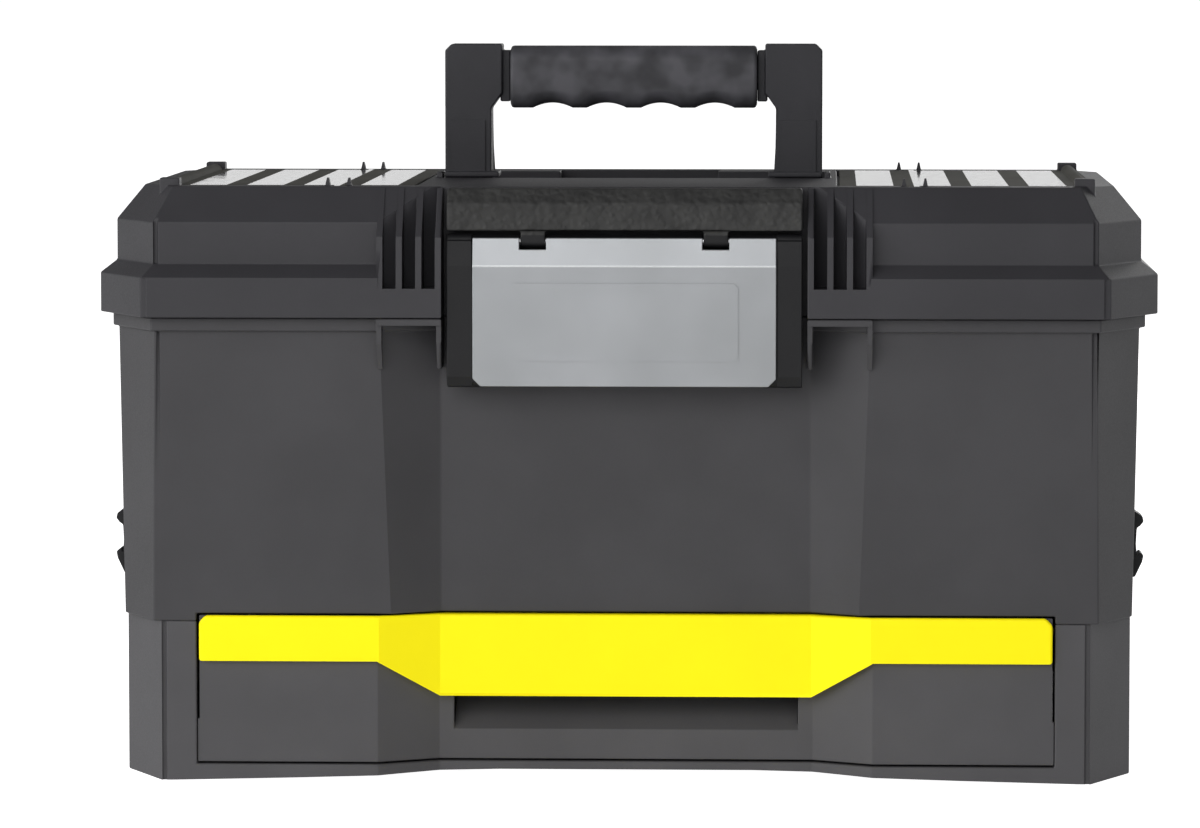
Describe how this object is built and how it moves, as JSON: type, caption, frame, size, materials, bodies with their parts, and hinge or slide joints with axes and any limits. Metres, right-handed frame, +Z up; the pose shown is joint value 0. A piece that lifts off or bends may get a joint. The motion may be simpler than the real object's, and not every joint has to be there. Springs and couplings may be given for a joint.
{
  "type": "carpenter toolbox",
  "caption": "Plastic toolbox with a hinged lid, one wide front latch, folding carry handle, clear-topped lid organisers, lift-out tote tray and a sliding drawer.",
  "frame": {"origin": "middle of the footprint, on the floor", "axes": "+X to the right seen from the front, +Y to the back, +Z up"},
  "size_m": [0.481, 0.279, 0.331],
  "materials": {
    "case_plastic": "fine moulded grain",
    "lid_plastic": "fine moulded grain",
    "dark_plastic": "fine moulded grain",
    "handle_plastic": "fine moulded grain",
    "bar_texture": "coarse leather grain",
    "grip_rubber": "soft touch",
    "pull_yellow": "satin",
    "latch_silver": "satin silver",
    "zinc_steel": "zinc plated",
    "clear_plastic": "clear polycarbonate"
  },
  "bodies": {
    "case": {"tub": "case_plastic", "drawer_housing": "case_plastic", "outer_rail_left": "zinc_steel", "outer_rail_right": "zinc_steel", "outer_rail_screws": "zinc_steel", "case_screws": "zinc_steel", "strap_cleat_left": "dark_plastic", "strap_cleat_right": "dark_plastic"},
    "lid": {"lid_shell": "lid_plastic", "lid_front_bar": "bar_texture", "hinge_pin_left": "zinc_steel", "hinge_pin_right": "zinc_steel", "organiser_dividers_left": "dark_plastic", "organiser_dividers_right": "dark_plastic", "latch_pin": "zinc_steel"},
    "latch": {"latch_frame": "dark_plastic", "latch_plate": "latch_silver"},
    "handle": {"handle_frame": "handle_plastic", "handle_grip": "grip_rubber", "handle_pins": "zinc_steel"},
    "organiser_cover_left": {"organiser_lid_left": "clear_plastic", "organiser_pins_left": "zinc_steel"},
    "organiser_cover_right": {"organiser_lid_right": "clear_plastic", "organiser_pins_right": "zinc_steel"},
    "drawer": {"drawer_tray": "dark_plastic", "drawer_front": "case_plastic", "drawer_pull": "pull_yellow", "drawer_dividers": "case_plastic", "inner_rail_left": "zinc_steel", "inner_rail_right": "zinc_steel", "inner_rail_screws": "zinc_steel", "drawer_front_screws": "zinc_steel", "drawer_pull_screws": "zinc_steel"},
    "slide_cage_left": {"ball_cage_left": "zinc_steel", "bearing_balls_left": "zinc_steel"},
    "slide_cage_right": {"ball_cage_right": "zinc_steel", "bearing_balls_right": "zinc_steel"},
    "tote": {"tote_tray": "dark_plastic"}
  },
  "joints": [
    {"name": "lid_hinge", "type": "hinge", "parent": "case", "child": "lid", "pos_m": [0, 0.1335, 0.207], "axis": [-1, 0, 0], "range_deg": [0, 100]},
    {"name": "latch_hinge", "type": "hinge", "parent": "lid", "child": "latch", "pos_m": [0, -0.1315, 0.2447], "axis": [-1, 0, 0], "range_deg": [0, 75]},
    {"name": "handle_fold", "type": "hinge", "parent": "lid", "child": "handle", "pos_m": [0, 0, 0.2585], "axis": [-1, 0, 0], "range_deg": [0, 90]},
    {"name": "organiser_hinge_left", "type": "hinge", "parent": "lid", "child": "organiser_cover_left", "pos_m": [-0.2064, 0, 0.2681], "axis": [0, -1, 0], "range_deg": [0, 110]},
    {"name": "organiser_hinge_right", "type": "hinge", "parent": "lid", "child": "organiser_cover_right", "pos_m": [0.2064, 0, 0.2681], "axis": [0, 1, 0], "range_deg": [0, 110]},
    {"name": "drawer_slide", "type": "slide", "parent": "case", "child": "drawer", "axis": [0, -1, 0], "range_m": [0, 0.15]},
    {"name": "cage_slide_left", "type": "slide", "parent": "case", "child": "slide_cage_left", "axis": [0, -1, 0], "range_m": [0, 0.075]},
    {"name": "cage_slide_right", "type": "slide", "parent": "case", "child": "slide_cage_right", "axis": [0, -1, 0], "range_m": [0, 0.075]},
    {"name": "tote_lift", "type": "slide", "parent": "case", "child": "tote", "axis": [0, 0, 1], "range_m": [0, 0.015]}
  ],
  "couplings": [
    {"joint": "cage_slide_left", "follows": "drawer_slide", "ratio": 0.5},
    {"joint": "cage_slide_right", "follows": "drawer_slide", "ratio": 0.5}
  ]
}
